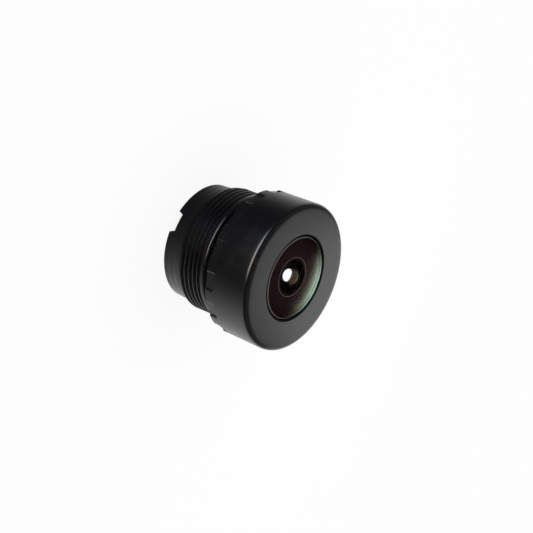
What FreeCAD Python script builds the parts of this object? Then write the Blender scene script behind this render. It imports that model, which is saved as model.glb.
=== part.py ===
"""Wide-angle board lens with a 12 mm fine thread, stood on its rear end.

The optical axis is Z. The origin is on that axis, in the plane of the barrel's rear rim,
and +Z points out of the front glass. Everything inside was dropped in from the front:
the bores step down towards the rear, and each glass, foil or ring seats on the one below.
Lengths are in millimetres.
"""
import FreeCAD
import Part
import os
from FreeCAD import Placement, Rotation, Vector
import Sketcher

doc = FreeCAD.newDocument("BoardLens")

# Driving dimensions, one plain number in each cell
SIZES = [
    # barrel, outside
    ("head_front_diameter", 14.18, "head at its face"),
    ("head_rear_diameter", 13.97, "head at its rear rim, after draft"),
    ("head_length", 4.89, "face to rear rim of the head"),
    ("head_rounding", 0.47, "radius of the head's front edge"),
    ("relief_diameter", 11.1, "neck between head and collar"),
    ("relief_length", 0.91, "head to collar"),
    ("thread_diameter", 12.0, "over the thread's crests, and the plain collar"),
    ("collar_length", 0.55, "plain ring ahead of the thread"),
    ("collar_bevel", 0.2, "front edge of the collar"),
    ("thread_length", 2.52, "threaded stretch"),
    ("thread_end_bevel", 0.3, "lead-in at the thread's rear end"),
    ("rear_end_length", 2.33, "rear rim to thread"),
    ("rear_diameter", 11.24, "plain rear end beside the thread"),
    ("rim_diameter", 11.08, "rear end at its bevel, after draft"),
    ("rear_bevel", 0.1, "outer edge of the rear rim"),
    # grip pockets in the head's rear rim, slots and index nick in the rear rim
    ("pocket_count", 12, "grip pockets round the head"),
    ("pocket_width", 1.7, "along the rim"),
    ("pocket_length", 0.95, "along the axis"),
    ("pocket_depth", 0.18, "into the head"),
    ("slot_rim_width", 2.1, "spanner slot at the rear rim"),
    ("slot_floor_width", 1.65, "spanner slot at its floor"),
    ("slot_depth", 0.6, "along the axis"),
    ("nick_width", 0.25, "index nick in the rear rim"),
    ("nick_depth", 0.1, "along the axis"),
    ("nick_angle", 225.5, "degrees about the axis from +X"),
    # barrel, inside
    ("front_bore_clearance", 0.1, "radial, round the front glass"),
    ("ring_clearance", 0.03, "radial, round the inner glasses and rings"),
    ("exit_diameter", 3.6, "opening of the ledge under the last glass"),
    ("rear_cup_diameter", 8.8, "hollow of the rear end"),
    ("rear_cup_depth", 1.0, "rear rim to the cup's floor"),
    # front glass
    ("front_lens_diameter", 8.0, ""),
    ("front_lens_rise", 0.45, "its middle stands this far above the face"),
    ("front_lens_front_radius", 16.0, ""),
    ("front_lens_rear_radius", 1.88, "the bowl"),
    ("front_lens_bowl_diameter", 3.48, ""),
    ("front_lens_thickness", 0.8, "at the middle"),
    ("front_lens_bevel", 0.08, "front edge, ground at 45 degrees"),
    ("front_lens_seat_bevel", 0.45, "rear edge, ground at 45 degrees for the rubber seal"),
    # glasses ahead of the stop
    ("upper_hole_clearance", 0.15, "radial, polished faces to the holes of the rings"),
    ("upper_seat_width", 1.15, "radial, from those holes to the edge of glasses, rings and stop"),
    ("first_air_gap", 1.11, "front bowl to second glass"),
    ("second_lens_front_radius", 8.58, ""),
    ("second_lens_rear_radius", 4.33, ""),
    ("second_lens_front_clear", 3.2, "polished diameter"),
    ("second_lens_rear_clear", 2.8, "polished diameter"),
    ("second_lens_thickness", 0.75, "at the middle"),
    ("second_air_gap", 0.36, ""),
    ("third_lens_front_radius", 7.85, ""),
    ("third_lens_rear_radius", 6.52, ""),
    ("third_lens_front_clear", 2.7, "polished diameter"),
    ("third_lens_rear_clear", 2.5, "polished diameter"),
    ("third_lens_thickness", 0.92, "at the middle"),
    ("stop_gap", 0.2, "third glass to the stop"),
    ("stop_thickness", 0.08, "metal disc"),
    ("stop_hole", 2.15, "the lens's aperture"),
    # glasses behind the stop
    ("lower_hole_clearance", 0.05, "radial, polished faces to the holes of rings and foil"),
    ("lower_seat_width", 0.75, "radial, from the rings' holes to the edge of glasses and rings"),
    ("third_air_gap", 0.28, "stop's front to fourth glass"),
    ("fourth_lens_front_radius", 11.9, ""),
    ("fourth_lens_rear_radius", 4.32, ""),
    ("fourth_lens_front_clear", 2.6, "polished diameter"),
    ("fourth_lens_rear_clear", 3.3, "polished diameter"),
    ("fourth_lens_thickness", 1.86, "at the middle"),
    ("fourth_air_gap", 0.1, "fourth to fifth glass, at the middle"),
    ("middle_baffle_thickness", 0.05, "foil"),
    ("fifth_lens_front_radius", 30.0, "hollow"),
    ("fifth_lens_front_clear", 3.4, "polished diameter"),
    ("fifth_lens_thickness", 0.5, "at the middle"),
    ("cement_radius", 7.3, "common face of the cemented pair"),
    ("sixth_lens_diameter", 4.1, ""),
    ("sixth_lens_rear_radius", 4.93, ""),
    ("sixth_lens_clear", 3.5, "polished diameter"),
    ("sixth_lens_thickness", 1.35, "at the middle"),
    # filter
    ("filter_diameter", 6.0, ""),
    ("filter_thickness", 0.3, ""),
    ("filter_clearance", 0.05, "radial"),
    ("filter_ledge", 0.35, "radial width of the filter's seat"),
]

# Heights above the rear rim that follow from the sizes: the barrel's outside from the rear,
# then the glasses from the front.
# The hollow or crown of a ground face of radius R, at half its clear diameter a,
# is R - sqrt(R^2 - a^2) deep.
PLACES = [
    ("thread_front", "Sizes.rear_end_length + Sizes.thread_length"),
    ("collar_front", "thread_front + Sizes.collar_length"),
    ("head_rear", "collar_front + Sizes.relief_length"),
    ("front_face", "head_rear + Sizes.head_length"),
    ("front_vertex", "front_face + Sizes.front_lens_rise"),
    ("bowl_vertex", "front_vertex - Sizes.front_lens_thickness"),
    ("front_seat", "bowl_vertex - sag(front_lens_rear_radius, front_lens_bowl_diameter)"),
    ("front_crown_rim", "front_vertex - sag(front_lens_front_radius, front_lens_diameter)"),
    ("second_vertex", "bowl_vertex - Sizes.first_air_gap"),
    ("second_front_rim", "second_vertex - sag(second_lens_front_radius, second_lens_front_clear)"),
    ("second_rear_vertex", "second_vertex - Sizes.second_lens_thickness"),
    ("second_rear_rim", "second_rear_vertex - sag(second_lens_rear_radius, second_lens_rear_clear)"),
    ("third_vertex", "second_rear_vertex - Sizes.second_air_gap"),
    ("third_front_rim", "third_vertex - sag(third_lens_front_radius, third_lens_front_clear)"),
    ("third_rear_vertex", "third_vertex - Sizes.third_lens_thickness"),
    ("third_rear_rim", "third_rear_vertex + sag(third_lens_rear_radius, third_lens_rear_clear)"),
    ("stop_front", "third_rear_vertex - Sizes.stop_gap"),
    ("stop_seat", "stop_front - Sizes.stop_thickness"),
    ("fourth_vertex", "stop_front - Sizes.third_air_gap"),
    ("fourth_front_rim", "fourth_vertex - sag(fourth_lens_front_radius, fourth_lens_front_clear)"),
    ("fourth_rear_vertex", "fourth_vertex - Sizes.fourth_lens_thickness"),
    ("fourth_rear_rim", "fourth_rear_vertex + sag(fourth_lens_rear_radius, fourth_lens_rear_clear)"),
    ("baffle_rear", "fourth_rear_rim - Sizes.middle_baffle_thickness"),
    ("fifth_vertex", "fourth_rear_vertex - Sizes.fourth_air_gap"),
    ("fifth_front_rim", "fifth_vertex + sag(fifth_lens_front_radius, fifth_lens_front_clear)"),
    ("cement_vertex", "fifth_vertex - Sizes.fifth_lens_thickness"),
    ("cement_rim", "cement_vertex - sag(cement_radius, sixth_lens_diameter)"),
    ("sixth_rear_vertex", "cement_vertex - Sizes.sixth_lens_thickness"),
    ("sixth_rear_rim", "sixth_rear_vertex + sag(sixth_lens_rear_radius, sixth_lens_clear)"),
    ("filter_front", "Sizes.rear_cup_depth + Sizes.filter_thickness"),
    # radii that two pieces share
    ("front_bore", "Sizes.front_lens_diameter / 2 + Sizes.front_bore_clearance"),
    ("upper_ring_hole", "max(Sizes.second_lens_front_clear; Sizes.second_lens_rear_clear; "
     "Sizes.third_lens_front_clear; Sizes.third_lens_rear_clear) / 2 + Sizes.upper_hole_clearance"),
    ("middle_baffle_hole", "Sizes.fourth_lens_rear_clear / 2 + Sizes.lower_hole_clearance"),
    ("lower_ring_hole", "max(Sizes.fourth_lens_front_clear; Sizes.fourth_lens_rear_clear; "
     "Sizes.fifth_lens_front_clear) / 2 + Sizes.lower_hole_clearance"),
    ("upper_edge", "upper_ring_hole + Sizes.upper_seat_width"),
    ("lower_edge", "lower_ring_hole + Sizes.lower_seat_width"),
    ("upper_bore", "upper_edge + Sizes.ring_clearance"),
    ("lower_bore", "lower_edge + Sizes.ring_clearance"),
    ("filter_bore", "Sizes.filter_diameter / 2 + Sizes.filter_clearance"),
    ("filter_window", "Sizes.filter_diameter / 2 - Sizes.filter_ledge"),
    ("rim_radius", "Sizes.rim_diameter / 2"),
]


def sag(radius, diameter):
    """Depth of a ground face: radius - sqrt(radius^2 - (diameter / 2)^2), as a formula."""
    return f"(Sizes.{radius} - sqrt(Sizes.{radius}^2 - (Sizes.{diameter} / 2)^2))"


def fill_sheets():
    """The driving sizes as plain cells, and the places as formulas of them."""
    sizes = doc.addObject("Spreadsheet::Sheet", "Sizes")
    for row, (alias, value, note) in enumerate(SIZES, start=1):
        sizes.set(f"A{row}", alias)
        sizes.set(f"B{row}", str(value))
        sizes.setAlias(f"B{row}", alias)
        sizes.set(f"C{row}", note)
    doc.recompute()
    places = doc.addObject("Spreadsheet::Sheet", "Places")
    for row, (alias, formula) in enumerate(PLACES, start=1):
        if "sag(" in formula:
            start, arguments = formula.split("sag(")
            formula = start + sag(*[name.strip() for name in arguments.rstrip(")").split(",")])
        places.set(f"A{row}", alias)
        places.set(f"B{row}", "=" + formula)
        places.setAlias(f"B{row}", alias)
    doc.recompute()
    return sizes, places


sizes, places = fill_sheets()


def value_of(expression):
    """What an expression of the two sheets comes to, as a number."""
    return float(sizes.evalExpression(expression))


def origin_plane(body, role):
    """One of the body's own three planes."""
    return next(plane for plane in body.Origin.OriginFeatures if plane.Role == role)


def new_body(name):
    """An empty body that will be written to the file of this name."""
    body = doc.addObject("PartDesign::Body", name)
    body.Label = name
    return body


def new_sketch(body, role, name):
    """A sketch on one of the body's own planes."""
    sketch = body.newObject("Sketcher::SketchObject", name)
    sketch.AttachmentSupport = [(origin_plane(body, role), "")]
    sketch.MapMode = "FlatFace"
    return sketch


def bind(sketch, constraint, expression):
    """Add a dimension to a sketch and tie it to an expression."""
    index = sketch.addConstraint(constraint)
    sketch.setExpression(f"Constraints[{index}]", expression)


def draw_section(sketch, corners):
    """A closed outline of straight lines between (distance from axis, height) expressions."""
    points = [Vector(value_of(across), value_of(up), 0) for across, up in corners]
    count = len(corners)
    for index, point in enumerate(points):
        sketch.addGeometry(Part.LineSegment(point, points[(index + 1) % count]), False)
    for edge in range(count):
        sketch.addConstraint(Sketcher.Constraint("Coincident", edge, 2, (edge + 1) % count, 1))
    for edge, ((across, up), point) in enumerate(zip(corners, points)):
        if across == "0":
            sketch.addConstraint(Sketcher.Constraint("PointOnObject", edge, 1, -2))
        else:
            bind(sketch, Sketcher.Constraint("DistanceX", -1, 1, edge, 1, point.x), across)
        if up == "0":
            sketch.addConstraint(Sketcher.Constraint("PointOnObject", edge, 1, -1))
        else:
            bind(sketch, Sketcher.Constraint("DistanceY", -1, 1, edge, 1, point.y), up)


def turned_piece(name, corners):
    """A piece turned, ground or stamped about the optical axis from its half section."""
    body = new_body(name)
    sketch = new_sketch(body, "XZ_Plane", name + "_section")
    draw_section(sketch, corners)
    turning = body.newObject("PartDesign::Revolution", name + "_turning")
    turning.Profile = sketch
    turning.ReferenceAxis = (sketch, ["V_Axis"])
    turning.Angle = 360
    doc.recompute()
    return body


def flat_ring(name, hole, outside, top, bottom):
    """A plain ring between two heights."""
    return turned_piece(name, [(hole, top), (outside, top), (outside, bottom), (hole, bottom)])


def volume_removed(body, feature, before):
    """Stop if a cut missed the body."""
    doc.recompute()
    if not body.Shape.Volume < before - 1e-6:
        raise RuntimeError(f"{feature.Label} cuts nothing")


def make_barrel():
    """The one-piece moulding: head, neck, collar, thread blank, rear end and stepped bore."""
    head_front = "Sizes.head_front_diameter / 2"
    head_rear = "Sizes.head_rear_diameter / 2"
    relief = "Sizes.relief_diameter / 2"
    crest = "Sizes.thread_diameter / 2"
    cup = "Sizes.rear_cup_diameter / 2"
    outline = [
        # down the outside from the face
        ("Places.front_bore", "Places.front_face"),
        *rounded_edge(head_front, "Places.front_face", "Sizes.head_rounding"),
        (head_rear, "Places.head_rear"),
        (relief, "Places.head_rear"),
        (relief, "Places.collar_front"),
        (f"{crest} - Sizes.collar_bevel", "Places.collar_front"),
        (crest, "Places.collar_front - Sizes.collar_bevel"),
        (crest, "Sizes.rear_end_length + Sizes.thread_end_bevel"),
        (f"{crest} - Sizes.thread_end_bevel", "Sizes.rear_end_length"),
        ("Sizes.rear_diameter / 2", "Sizes.rear_end_length"),
        ("Places.rim_radius", "Sizes.rear_bevel"),
        ("Places.rim_radius - Sizes.rear_bevel", "0"),
        # up the inside from the rear
        (cup, "0"),
        (cup, "Sizes.rear_cup_depth"),
        ("Places.filter_bore", "Sizes.rear_cup_depth"),
        ("Places.filter_bore", "Places.filter_front"),
        ("Places.filter_window", "Places.filter_front"),
        ("Sizes.exit_diameter / 2", "Places.sixth_rear_rim"),
        ("Places.lower_bore", "Places.sixth_rear_rim"),
        ("Places.lower_bore", "Places.stop_seat"),
        ("Places.upper_bore", "Places.stop_seat"),
        ("Places.upper_bore", "Places.front_seat"),
        ("Places.front_bore", "Places.front_seat"),
    ]
    barrel = turned_piece("barrel", outline)
    cut_grip_pockets(barrel)
    cut_spanner_slots(barrel)
    cut_index_nick(barrel)
    return barrel


def rounded_edge(outside, top, radius):
    """Corners of an outside edge rounded in three flats of 30 degrees, from the top down."""
    corners = []
    for degrees in (0, 30, 60, 90):
        across = f"{outside} - {radius} * (1 - sin({degrees} deg))"
        up = f"{top} - {radius} * (1 - cos({degrees} deg))"
        corners.append((across, up))
    return corners


def cut_grip_pockets(barrel):
    """Shallow flat-floored pockets round the head, open to its rear rim and its side."""
    before = barrel.Shape.Volume
    sketch = new_sketch(barrel, "XY_Plane", "pocket_outline")
    sketch.setExpression(".AttachmentOffset.Base.z", "Places.head_rear")
    floor = "Sizes.head_rear_diameter / 2 - Sizes.pocket_depth"
    outside = "Sizes.head_front_diameter / 2 + Sizes.pocket_depth"
    half = "Sizes.pocket_width / 2"
    draw_rectangle(sketch, floor, outside, half)
    pocket = barrel.newObject("PartDesign::Pocket", "grip_pocket")
    pocket.Profile = sketch
    pocket.Reversed = True
    pocket.setExpression("Length", "Sizes.pocket_length")
    volume_removed(barrel, pocket, before)
    ring = barrel.newObject("PartDesign::PolarPattern", "grip_pockets")
    ring.Originals = [pocket]
    ring.Axis = (sketch, ["N_Axis"])
    ring.Angle = 360
    ring.setExpression("Occurrences", "Sizes.pocket_count")
    barrel.Tip = ring
    doc.recompute()


def draw_rectangle(sketch, near, far, half):
    """A rectangle across the sketch's X axis: from near to far along it, half each side."""
    near_x = value_of(near)
    far_x = value_of(far)
    half_y = value_of(half)
    corners = [
        Vector(near_x, -half_y, 0),
        Vector(far_x, -half_y, 0),
        Vector(far_x, half_y, 0),
        Vector(near_x, half_y, 0),
    ]
    for index, corner in enumerate(corners):
        sketch.addGeometry(Part.LineSegment(corner, corners[(index + 1) % 4]), False)
    for edge in range(4):
        sketch.addConstraint(Sketcher.Constraint("Coincident", edge, 2, (edge + 1) % 4, 1))
    for edge in (0, 2):
        sketch.addConstraint(Sketcher.Constraint("Horizontal", edge))
    for edge in (1, 3):
        sketch.addConstraint(Sketcher.Constraint("Vertical", edge))
    bind(sketch, Sketcher.Constraint("DistanceX", -1, 1, 0, 1, near_x), near)
    bind(sketch, Sketcher.Constraint("DistanceX", -1, 1, 0, 2, far_x), far)
    bind(sketch, Sketcher.Constraint("DistanceY", 0, 1, -1, 1, half_y), half)
    bind(sketch, Sketcher.Constraint("DistanceY", -1, 1, 2, 1, half_y), half)


def cut_spanner_slots(barrel):
    """Two slots with leaning sides across the rear rim, for the focusing spanner."""
    before = barrel.Shape.Volume
    sketch = new_sketch(barrel, "YZ_Plane", "slot_outline")
    rim_half = "Sizes.slot_rim_width / 2"
    floor_half = "Sizes.slot_floor_width / 2"
    depth = "Sizes.slot_depth"
    corners = [
        Vector(-value_of(rim_half), 0, 0),
        Vector(value_of(rim_half), 0, 0),
        Vector(value_of(floor_half), value_of(depth), 0),
        Vector(-value_of(floor_half), value_of(depth), 0),
    ]
    for index, corner in enumerate(corners):
        sketch.addGeometry(Part.LineSegment(corner, corners[(index + 1) % 4]), False)
    for edge in range(4):
        sketch.addConstraint(Sketcher.Constraint("Coincident", edge, 2, (edge + 1) % 4, 1))
    sketch.addConstraint(Sketcher.Constraint("PointOnObject", 0, 1, -1))
    sketch.addConstraint(Sketcher.Constraint("PointOnObject", 0, 2, -1))
    sketch.addConstraint(Sketcher.Constraint("Horizontal", 2))
    bind(sketch, Sketcher.Constraint("DistanceX", 0, 1, -1, 1, -corners[0].x), rim_half)
    bind(sketch, Sketcher.Constraint("DistanceX", -1, 1, 0, 2, corners[1].x), rim_half)
    bind(sketch, Sketcher.Constraint("DistanceX", -1, 1, 2, 1, corners[2].x), floor_half)
    bind(sketch, Sketcher.Constraint("DistanceX", 2, 2, -1, 1, -corners[3].x), floor_half)
    bind(sketch, Sketcher.Constraint("DistanceY", -1, 1, 2, 1, corners[2].y), depth)
    slots = barrel.newObject("PartDesign::Pocket", "spanner_slots")
    slots.Profile = sketch
    slots.Midplane = True
    slots.setExpression("Length", "Sizes.rear_diameter * 2")
    volume_removed(barrel, slots, before)


def cut_index_nick(barrel):
    """A tiny nick across the rear rim's wall, on one side only."""
    before = barrel.Shape.Volume
    sketch = new_sketch(barrel, "XY_Plane", "nick_outline")
    sketch.AttachmentOffset = Placement(Vector(0, 0, 0), Rotation(0, 0, 0))
    sketch.setExpression(".AttachmentOffset.Rotation.Angle", "Sizes.nick_angle * 1 deg")
    inner = "Sizes.rear_cup_diameter / 2 - Sizes.nick_width"
    outer = "Places.rim_radius + Sizes.nick_width"
    draw_rectangle(sketch, inner, outer, "Sizes.nick_width / 2")
    nick = barrel.newObject("PartDesign::Pocket", "index_nick")
    nick.Profile = sketch
    nick.Reversed = True
    nick.setExpression("Length", "Sizes.nick_depth")
    volume_removed(barrel, nick, before)


def disc(name, radius, top, bottom):
    """A round blank about the axis between two heights."""
    blank = doc.addObject("Part::Cylinder", name)
    blank.setExpression("Radius", radius)
    blank.setExpression("Height", f"{top} - ({bottom})")
    blank.setExpression(".Placement.Base.z", bottom)
    return blank


def ball(name, radius, centre):
    """The sphere that a ground face is part of, with its poles well away from the face."""
    sphere = doc.addObject("Part::Sphere", name)
    sphere.Placement = Placement(Vector(0, 0, 0), Rotation(Vector(1, 0, 0), 90))
    sphere.setExpression("Radius", radius)
    sphere.setExpression(".Placement.Base.z", centre)
    return sphere


def beyond(vertex, rim):
    """A height past the vertex by the depth of the face, so that a blank never touches its top."""
    return f"2 * {vertex} - {rim}"


def shared_by(name, first, second):
    """What two solids have in common."""
    common = doc.addObject("Part::Common", name)
    common.Base = first
    common.Tool = second
    return common


def cut_from(name, blank, tool):
    """The blank less the tool."""
    cut = doc.addObject("Part::Cut", name)
    cut.Base = blank
    cut.Tool = tool
    return cut


def crowned(name, blank, crown_disc, crown_ball):
    """The blank with a swelling: the part of a narrower disc that lies in the ball."""
    swelling = shared_by(name + "_swelling", crown_disc, crown_ball)
    fused = doc.addObject("Part::Fuse", name)
    fused.Base = blank
    fused.Tool = swelling
    fused.Refine = True
    return fused


def finished(piece, name):
    """Give the last feature of a piece the name of its file."""
    piece.Label = name
    doc.recompute()
    return piece


def make_front_glass():
    """The large front glass: a shallow crown outside and a small deep bowl behind."""
    edge = "Sizes.front_lens_diameter / 2"
    seat_bevel = "Sizes.front_lens_seat_bevel"
    rim = "Places.front_crown_rim - Sizes.front_lens_bevel"
    blank = turned_piece("front_lens_blank", [
        ("0", "Places.front_vertex"),
        (f"{edge} - (Places.front_vertex - ({rim}))", "Places.front_vertex"),
        (edge, rim),
        (edge, f"Places.front_seat + {seat_bevel}"),
        (f"{edge} - {seat_bevel}", "Places.front_seat"),
        ("0", "Places.front_seat"),
    ])
    radius = "Sizes.front_lens_front_radius"
    crown = ball("front_lens_crown", radius, f"Places.front_vertex - {radius}")
    radius = "Sizes.front_lens_rear_radius"
    bowl = ball("front_lens_bowl", radius, f"Places.bowl_vertex - {radius}")
    crowned_blank = shared_by("front_lens_crowned", blank, crown)
    return finished(cut_from("front_lens_ground", crowned_blank, bowl), "front_lens")


def make_front_seal():
    """The rubber ring squeezed into the corner between the front glass's rear bevel and its bore."""
    edge = "Sizes.front_lens_diameter / 2"
    bevel_top = "Places.front_seat + Sizes.front_lens_seat_bevel"
    return turned_piece("front_seal", [
        (f"{edge} - Sizes.front_lens_seat_bevel", "Places.front_seat"),
        ("Places.front_bore", "Places.front_seat"),
        ("Places.front_bore", bevel_top),
        (edge, bevel_top),
    ])


def make_second_glass():
    """A weak glass under the bowl: crowned in front, hollow behind, with flat seating rims."""
    edge = "Places.upper_edge"
    blank = disc("second_lens_blank", edge, "Places.second_front_rim", "Places.second_rear_rim")
    radius = "Sizes.second_lens_front_radius"
    front = crowned(
        "second_lens_crowned",
        blank,
        disc(
            "second_lens_crown_disc", "Sizes.second_lens_front_clear / 2",
            beyond("Places.second_vertex", "Places.second_front_rim"), "Places.second_rear_rim",
        ),
        ball("second_lens_crown", radius, f"Places.second_vertex - {radius}"),
    )
    radius = "Sizes.second_lens_rear_radius"
    hollow = ball("second_lens_hollow", radius, f"Places.second_rear_vertex - {radius}")
    return finished(cut_from("second_lens_ground", front, hollow), "second_lens")


def make_double_convex(place, edge):
    """A glass that swells both ways, with flat seating rims outside its polished faces."""
    name = f"{place}_lens"
    front_rim = f"Places.{place}_front_rim"
    rear_rim = f"Places.{place}_rear_rim"
    blank = disc(f"{name}_blank", edge, front_rim, rear_rim)
    radius = f"Sizes.{name}_front_radius"
    vertex = f"Places.{place}_vertex"
    front = crowned(
        f"{name}_front",
        blank,
        disc(
            f"{name}_front_disc", f"Sizes.{name}_front_clear / 2",
            beyond(vertex, front_rim), rear_rim,
        ),
        ball(f"{name}_front_ball", radius, f"{vertex} - {radius}"),
    )
    radius = f"Sizes.{name}_rear_radius"
    vertex = f"Places.{place}_rear_vertex"
    both = crowned(
        f"{name}_both",
        front,
        disc(
            f"{name}_rear_disc", f"Sizes.{name}_rear_clear / 2",
            front_rim, beyond(vertex, rear_rim),
        ),
        ball(f"{name}_rear_ball", radius, f"{vertex} + {radius}"),
    )
    return finished(both, name)


def make_cemented_pair():
    """The thin hollow glass and the thick one cemented to its back."""
    fifth_edge = "Places.lower_edge"
    sixth_edge = "Sizes.sixth_lens_diameter / 2"
    cement = "Sizes.cement_radius"
    cement_centre = f"Places.cement_vertex - {cement}"
    blank = disc("fifth_lens_blank", fifth_edge, "Places.fifth_front_rim", "Places.cement_rim")
    radius = "Sizes.fifth_lens_front_radius"
    hollow = ball("fifth_lens_hollow", radius, f"Places.fifth_vertex + {radius}")
    hollowed = cut_from("fifth_lens_hollowed", blank, hollow)
    fifth = cut_from("fifth_lens_ground", hollowed, ball("fifth_lens_back", cement, cement_centre))
    thick_disc = disc(
        "sixth_lens_blank", sixth_edge,
        beyond("Places.cement_vertex", "Places.cement_rim"), "Places.sixth_rear_rim",
    )
    front = shared_by("sixth_lens_front", thick_disc, ball("sixth_lens_cement", cement, cement_centre))
    radius = "Sizes.sixth_lens_rear_radius"
    sixth = crowned(
        "sixth_lens_both",
        front,
        disc(
            "sixth_lens_rear_disc", "Sizes.sixth_lens_clear / 2",
            "Places.cement_rim", beyond("Places.sixth_rear_vertex", "Places.sixth_rear_rim"),
        ),
        ball("sixth_lens_rear_ball", radius, f"Places.sixth_rear_vertex + {radius}"),
    )
    return [finished(fifth, "fifth_lens"), finished(sixth, "sixth_lens")]


def make_pieces():
    """Every piece of the lens, from the barrel and then from the front to the rear."""
    upper = "Places.upper_edge"
    upper_hole = "Places.upper_ring_hole"
    lower = "Places.lower_edge"
    lower_hole = "Places.lower_ring_hole"
    return [
        make_barrel(),
        make_front_glass(),
        make_front_seal(),
        flat_ring("front_baffle", upper_hole, upper, "Places.front_seat", "Places.second_front_rim"),
        make_second_glass(),
        flat_ring("upper_spacer", upper_hole, upper, "Places.second_rear_rim", "Places.third_front_rim"),
        make_double_convex("third", upper),
        flat_ring("stop_clamp_ring", upper_hole, upper, "Places.third_rear_rim", "Places.stop_front"),
        flat_ring("aperture_stop", "Sizes.stop_hole / 2", upper, "Places.stop_front", "Places.stop_seat"),
        flat_ring("lower_spacer", lower_hole, lower, "Places.stop_seat", "Places.fourth_front_rim"),
        make_double_convex("fourth", lower),
        flat_ring(
            "middle_baffle", "Places.middle_baffle_hole", lower,
            "Places.fourth_rear_rim", "Places.baffle_rear",
        ),
        flat_ring("pair_spacer", lower_hole, lower, "Places.baffle_rear", "Places.fifth_front_rim"),
        *make_cemented_pair(),
        turned_piece("ir_cut_filter", [
            ("0", "Places.filter_front"),
            ("Sizes.filter_diameter / 2", "Places.filter_front"),
            ("Sizes.filter_diameter / 2", "Sizes.rear_cup_depth"),
            ("0", "Sizes.rear_cup_depth"),
        ]),
    ]


def write_pieces(pieces):
    """Check every object and every solid, then write one file for each piece."""
    failed = [item.Label for item in doc.Objects if "Invalid" in item.State or "Error" in item.State]
    if failed:
        raise RuntimeError(f"these objects failed: {failed}")
    for piece in pieces:
        shape = piece.Shape
        if shape.isNull() or not shape.isValid() or len(shape.Solids) != 1:
            raise RuntimeError(f"{piece.Label} is not one valid solid")
    os.makedirs("parts", exist_ok=True)
    for piece in pieces:
        piece.Shape.exportStep(f"parts/{piece.Label}.step")
        print(f"{piece.Label}: {piece.Shape.Volume:.3f} mm3")


write_pieces(make_pieces())
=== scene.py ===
# Wide-angle board lens with a 12 mm fine thread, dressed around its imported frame.
# The lens stands on its rear rim at z = 0 with the optical axis along Z. Settings are in
# millimetres; meshes are written in metres.
import bmesh
import bpy
import math
import numpy as np
from mathutils import Matrix, Vector


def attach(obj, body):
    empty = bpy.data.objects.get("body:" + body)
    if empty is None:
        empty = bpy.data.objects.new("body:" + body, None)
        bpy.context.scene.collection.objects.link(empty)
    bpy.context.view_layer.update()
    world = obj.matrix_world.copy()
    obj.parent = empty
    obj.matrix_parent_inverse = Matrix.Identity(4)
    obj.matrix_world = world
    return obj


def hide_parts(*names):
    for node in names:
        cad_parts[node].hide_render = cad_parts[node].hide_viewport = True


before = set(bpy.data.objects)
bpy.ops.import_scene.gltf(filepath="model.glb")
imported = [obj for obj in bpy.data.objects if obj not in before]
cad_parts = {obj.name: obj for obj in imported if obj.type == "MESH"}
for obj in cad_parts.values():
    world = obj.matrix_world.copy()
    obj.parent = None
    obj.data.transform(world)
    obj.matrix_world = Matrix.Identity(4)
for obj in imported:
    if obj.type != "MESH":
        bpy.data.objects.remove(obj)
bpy.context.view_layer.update()        # bodies and nodes of the imported model
mm = 0.001
tiny = 1e-6              # mm, closer than which two places are the same
glossyBounces = 24       # the stack of glasses has fourteen polished faces to cross

scene = bpy.context.scene
scene.view_settings.view_transform = "Standard"
scene.cycles.max_bounces = glossyBounces
scene.cycles.transmission_bounces = glossyBounces


# camera

cameraView = {
    "imageSize": 533,                              # pixels, both ways
    "focalLength": 2209.0,                         # pixels
    "sensor": 36.0,                                # mm
    "towardsCamera": (-0.8254, -0.1062, 0.5540),
    "rightward": (0.4615, 0.4383, 0.7713),
    "faceMiddle": (0.0, 0.0, 11.2),                # mm
    "offRight": -2.642,                            # mm from it to the middle of the picture
    "offUp": 1.077,
    "distance": 201.2,                             # mm
    "nearest": 1.0,                                # mm that the camera sees from
}


def addCamera(view):
    towards = Vector(view["towardsCamera"]).normalized()
    right = Vector(view["rightward"])
    right = (right - towards * right.dot(towards)).normalized()
    up = towards.cross(right)
    place = Vector(view["faceMiddle"]) + right * view["offRight"] + up * view["offUp"]
    place = (place + towards * view["distance"]) * mm
    camera = bpy.data.cameras.new("camera")
    camera.sensor_width = view["sensor"]
    camera.lens = view["focalLength"] / view["imageSize"] * view["sensor"]
    camera.clip_start = view["nearest"] * mm
    holder = bpy.data.objects.new("camera", camera)
    turn = Matrix((right, up, towards)).transposed()
    holder.matrix_world = Matrix.Translation(place) @ turn.to_4x4()
    scene.collection.objects.link(holder)
    scene.camera = holder


addCamera(cameraView)
print("camera placed")


# colours and nodes

def linear(hexColour):
    # sRGB hex to linear red, green, blue and an alpha of 1
    parts = np.array([int(hexColour[i:i + 2], 16) for i in (1, 3, 5)]) / 255
    curved = np.where(parts <= 0.04045, parts / 12.92, ((parts + 0.055) / 1.055) ** 2.4)
    return (*curved.tolist(), 1.0)


white = linear("#FFFFFF")
smoothStep = {"interpolation_type": "SMOOTHSTEP"}


def newMaterial(name):
    material = bpy.data.materials.new(name)
    material.use_nodes = True
    material.node_tree.nodes.clear()
    return material


def addNode(tree, kind, settings=None, inputs=None, links=None):
    # one node: its own settings, constants on its sockets, and what feeds its sockets
    node = tree.nodes.new(kind)
    for name, value in (settings or {}).items():
        setattr(node, name, value)
    for name, value in (inputs or {}).items():
        node.inputs[name].default_value = value
    for name, source in (links or {}).items():
        tree.links.new(source, node.inputs[name])
    return node


def finishMaterial(material, surface):
    tree = material.node_tree
    addNode(tree, "ShaderNodeOutputMaterial", links={"Surface": surface})
    return material


# floor, world and lamps

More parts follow.
